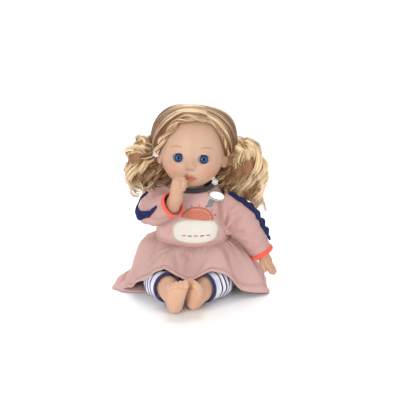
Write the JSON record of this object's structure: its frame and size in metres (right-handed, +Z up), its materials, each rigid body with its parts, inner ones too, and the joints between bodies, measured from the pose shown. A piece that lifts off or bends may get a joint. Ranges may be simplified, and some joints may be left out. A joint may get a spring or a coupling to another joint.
{
  "type": "interactive baby doll",
  "caption": "Seated soft-bodied play doll with vinyl head and limbs, sleeping eyes, curly pigtails, sweat dress and leggings, and a press-to-talk voice unit in its belly",
  "frame": {"origin": "middle of the flat seat face, on the floor", "axes": "+Z up, -Y the way the doll faces, +X to the doll's own left"},
  "size_m": [0.2483, 0.2296, 0.2708],
  "materials": {
    "cloth": "plain woven cotton, stuffed",
    "dress": "brushed sweat jersey",
    "rib": "ribbed jersey",
    "red_rib": "ribbed jersey",
    "navy": "woven trim",
    "legging": "striped jersey",
    "applique": "fleece",
    "rust": "felt",
    "vinyl": "soft matt vinyl",
    "hair": "glossy nylon fibre",
    "white_plastic": "moulded",
    "eye": "clear domed",
    "nylon": "moulded nylon",
    "steel": "bare",
    "dark": "moulded",
    "board": "printed board",
    "red_plastic": "moulded"
  },
  "bodies": {
    "torso": {"cloth_body": "cloth", "neck_washer": "nylon", "right_shoulder_washer": "nylon", "left_shoulder_washer": "nylon", "right_thigh": "cloth", "left_thigh": "cloth", "right_knee_washer": "nylon", "left_knee_washer": "nylon", "case_front": "white_plastic", "case_back": "white_plastic", "case_screws": "steel", "speaker": "dark", "circuit_board": "board", "button_spring": "steel", "battery_cells": "steel", "battery_contacts": "steel", "battery_door": "white_plastic", "dress_bodice": "dress", "neckband": "rib", "dress_skirt": "dress", "chest_patch": "applique", "patch_motif": "rust", "fabric_tab": "rib", "badge": "applique", "back_fastener": "applique", "leggings_seat": "legging", "right_legging": "legging", "right_hem_band": "navy", "left_legging": "legging", "left_hem_band": "navy"},
    "head": {"head_shell": "vinyl", "neck_joint": "nylon", "hair_cap": "hair", "right_pigtail": "hair", "left_pigtail": "hair", "hair_strands": "hair", "bobbles": "white_plastic", "eye_bracket": "nylon"},
    "eyes": {"right_eyeball": "eye", "left_eyeball": "eye", "eyelids": "vinyl", "eye_axle": "steel", "eye_weight": "dark"},
    "right_arm": {"right_arm": "vinyl", "right_arm_joint": "nylon", "right_sleeve": "dress", "right_cuff": "red_rib", "right_trim": "navy"},
    "left_arm": {"left_arm": "vinyl", "left_arm_joint": "nylon", "left_sleeve": "dress", "left_cuff": "red_rib", "left_trim": "navy"},
    "right_leg": {"right_leg": "vinyl", "right_leg_joint": "nylon"},
    "left_leg": {"left_leg": "vinyl", "left_leg_joint": "nylon"},
    "button": {"press_button": "red_plastic"},
    "switch": {"power_switch": "dark"}
  },
  "joints": [
    {"name": "neck_turn", "type": "hinge", "parent": "torso", "child": "head", "pos_m": [0, 0.002, 0.1425], "axis": [0, 0, 1], "range_deg": [-35, 35], "deforming": ["right_pigtail", "left_pigtail"]},
    {"name": "eyes_close", "type": "hinge", "parent": "head", "child": "eyes", "pos_m": [0.00158, -0.0353, 0.20132], "axis": [0.997, 0.0522, -0.0576], "range_deg": [0, 72]},
    {"name": "right_shoulder", "type": "hinge", "parent": "torso", "child": "right_arm", "pos_m": [-0.0335, -0.019, 0.117], "axis": [0.6885, 0.7184, 0.0998], "range_deg": [0, 42]},
    {"name": "left_shoulder", "type": "hinge", "parent": "torso", "child": "left_arm", "pos_m": [0.0335, -0.019, 0.117], "axis": [0.6885, -0.7184, -0.0998], "range_deg": [0, 65]},
    {"name": "right_foot_turn", "type": "hinge", "parent": "torso", "child": "right_leg", "pos_m": [-0.04543, -0.07054, 0.02426], "axis": [0.5235, -0.8476, 0.0872], "range_deg": [0, 14]},
    {"name": "left_foot_turn", "type": "hinge", "parent": "torso", "child": "left_leg", "pos_m": [0.04519, -0.06539, 0.02412], "axis": [0.6039, 0.796, -0.0412], "range_deg": [0, 12]},
    {"name": "belly_button", "type": "slide", "parent": "torso", "child": "button", "axis": [0, 1, 0], "range_m": [0, 0.002], "stiffness_N_per_m": 600, "deforming": ["button_spring"]},
    {"name": "power_slide", "type": "slide", "parent": "torso", "child": "switch", "axis": [1, 0, 0], "range_m": [0, 0.005]}
  ]
}
